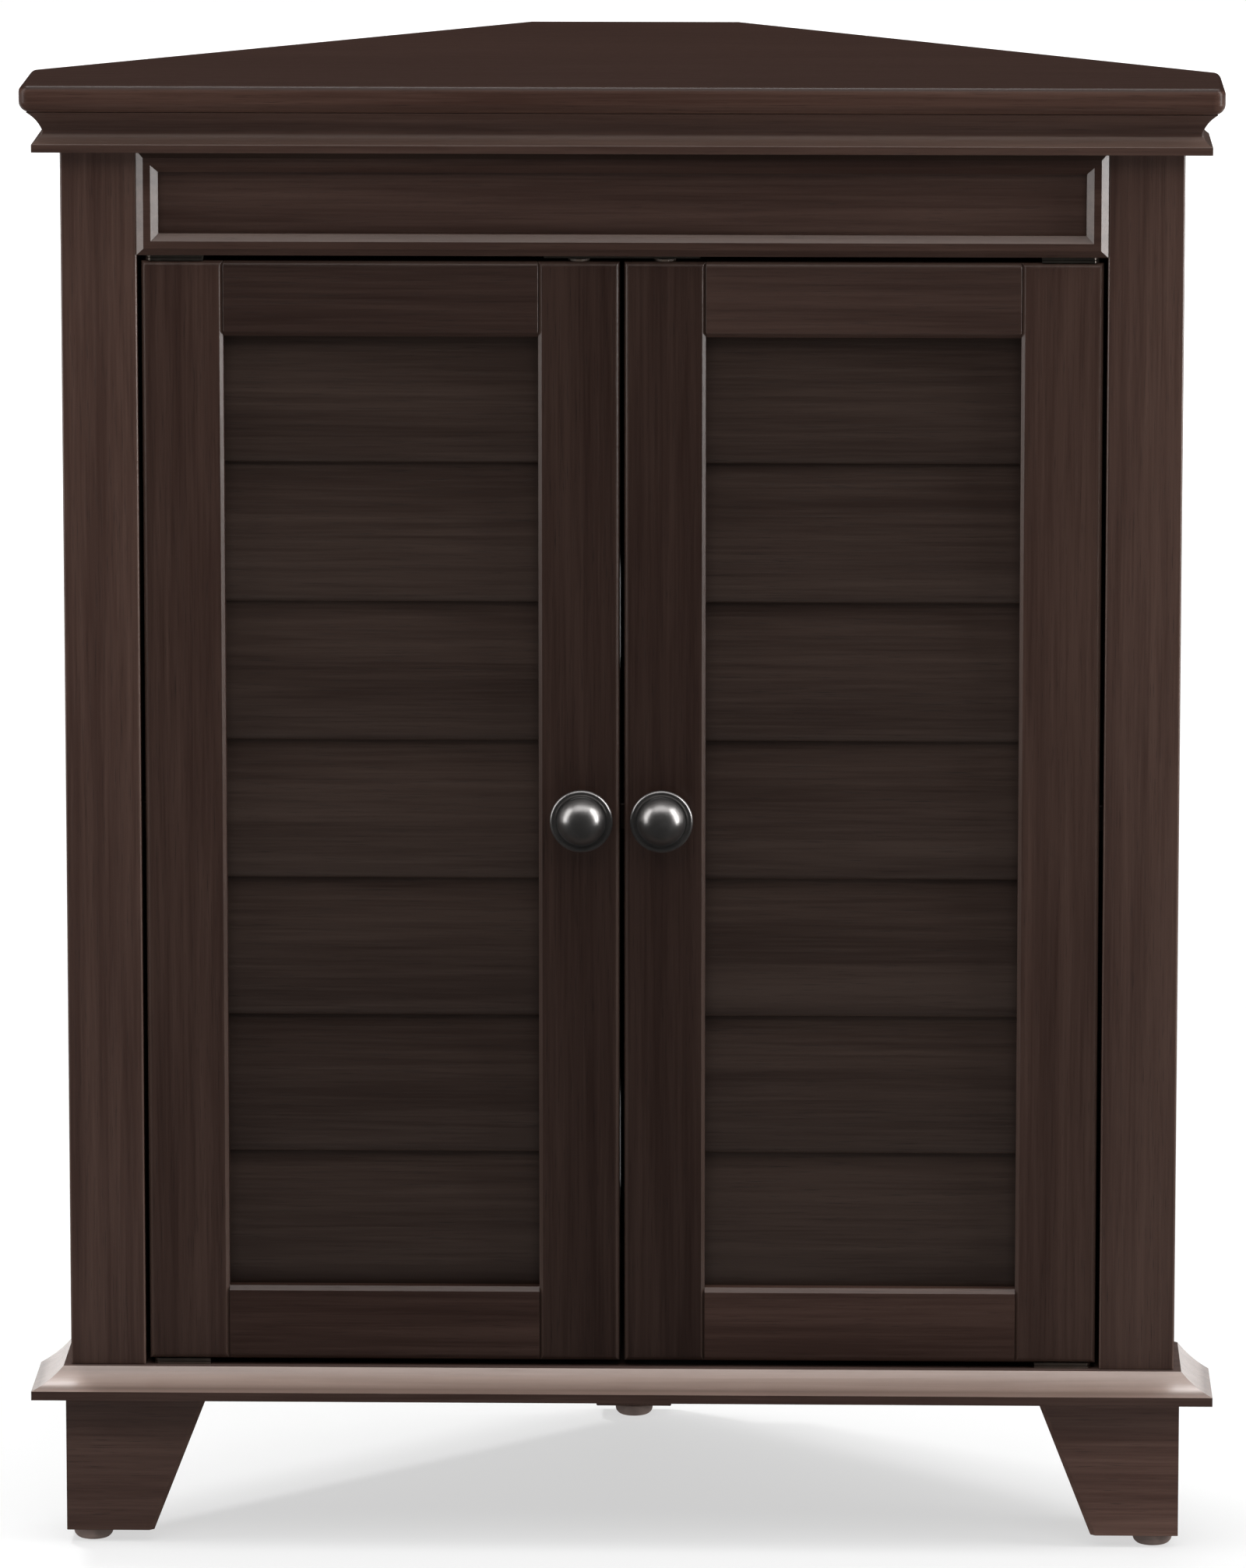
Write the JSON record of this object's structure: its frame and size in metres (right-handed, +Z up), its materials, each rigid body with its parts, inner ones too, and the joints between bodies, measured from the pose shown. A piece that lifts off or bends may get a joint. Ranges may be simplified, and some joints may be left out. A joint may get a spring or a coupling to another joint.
{
  "type": "corner cabinet",
  "caption": "Dark wood corner cabinet: shaped top on a moulded cornice, louvred doors on knife hinges, a shelf inside, a moulded base and bracket feet.",
  "frame": {"origin": "on the floor, under the middle of the whole object", "axes": "+X to the right seen from the front, +Y from the doors to the corner of the room, +Z up"},
  "size_m": [0.66, 0.356, 0.824],
  "materials": {
    "stained_wood": "satin lacquer over dark stain",
    "stained_panel": "dark stained board, matt",
    "plain_wood": "unfinished softwood",
    "dark_metal": "dark polished plating",
    "hinge_metal": "satin plating",
    "screw_metal": "zinc plated",
    "brown_plastic": "moulded",
    "magnet_case": "brown enamel"
  },
  "bodies": {
    "cabinet": {"adjustable_shelf": "stained_wood", "back_foot": "stained_wood", "base_panel": "stained_wood", "carcass_screws": "screw_metal", "catch_plate": "hinge_metal", "centre_back_panel": "stained_panel", "cornice_front": "stained_wood", "cornice_left": "stained_wood", "cornice_right": "stained_wood", "floor_glides": "brown_plastic", "foot_blocks": "plain_wood", "frieze_mouldings": "stained_wood", "frieze_panel": "stained_wood", "hinge_frame_leaves": "hinge_metal", "hinge_pins": "hinge_metal", "left_foot_front": "stained_wood", "left_foot_side": "stained_wood", "left_post": "stained_wood", "left_side_return": "stained_wood", "left_wall_panel": "stained_panel", "right_foot_front": "stained_wood", "right_foot_side": "stained_wood", "right_post": "stained_wood", "right_side_return": "stained_wood", "right_wall_panel": "stained_panel", "shelf_pins": "hinge_metal", "top_cleats": "plain_wood", "top_panel": "stained_wood"},
    "left_door": {"left_bottom_rail": "stained_wood", "left_catch_magnet": "magnet_case", "left_hinge_leaves": "hinge_metal", "left_hinge_screws": "screw_metal", "left_hinge_stile": "stained_wood", "left_knob": "dark_metal", "left_knob_bolt": "screw_metal", "left_louvre_1": "stained_wood", "left_louvre_2": "stained_wood", "left_louvre_3": "stained_wood", "left_louvre_4": "stained_wood", "left_louvre_5": "stained_wood", "left_louvre_6": "stained_wood", "left_louvre_7": "stained_wood", "left_meeting_stile": "stained_wood", "left_top_rail": "stained_wood"},
    "right_door": {"right_bottom_rail": "stained_wood", "right_catch_magnet": "magnet_case", "right_hinge_leaves": "hinge_metal", "right_hinge_screws": "screw_metal", "right_hinge_stile": "stained_wood", "right_knob": "dark_metal", "right_knob_bolt": "screw_metal", "right_louvre_1": "stained_wood", "right_louvre_2": "stained_wood", "right_louvre_3": "stained_wood", "right_louvre_4": "stained_wood", "right_louvre_5": "stained_wood", "right_louvre_6": "stained_wood", "right_louvre_7": "stained_wood", "right_meeting_stile": "stained_wood", "right_top_rail": "stained_wood"}
  },
  "joints": [
    {"name": "left_door_hinge", "type": "hinge", "parent": "cabinet", "child": "left_door", "pos_m": [-0.2568, -0.144, 0.41525], "axis": [0, 0, -1], "range_deg": [0, 110]},
    {"name": "right_door_hinge", "type": "hinge", "parent": "cabinet", "child": "right_door", "pos_m": [0.2568, -0.144, 0.41525], "axis": [0, 0, 1], "range_deg": [0, 110]}
  ]
}
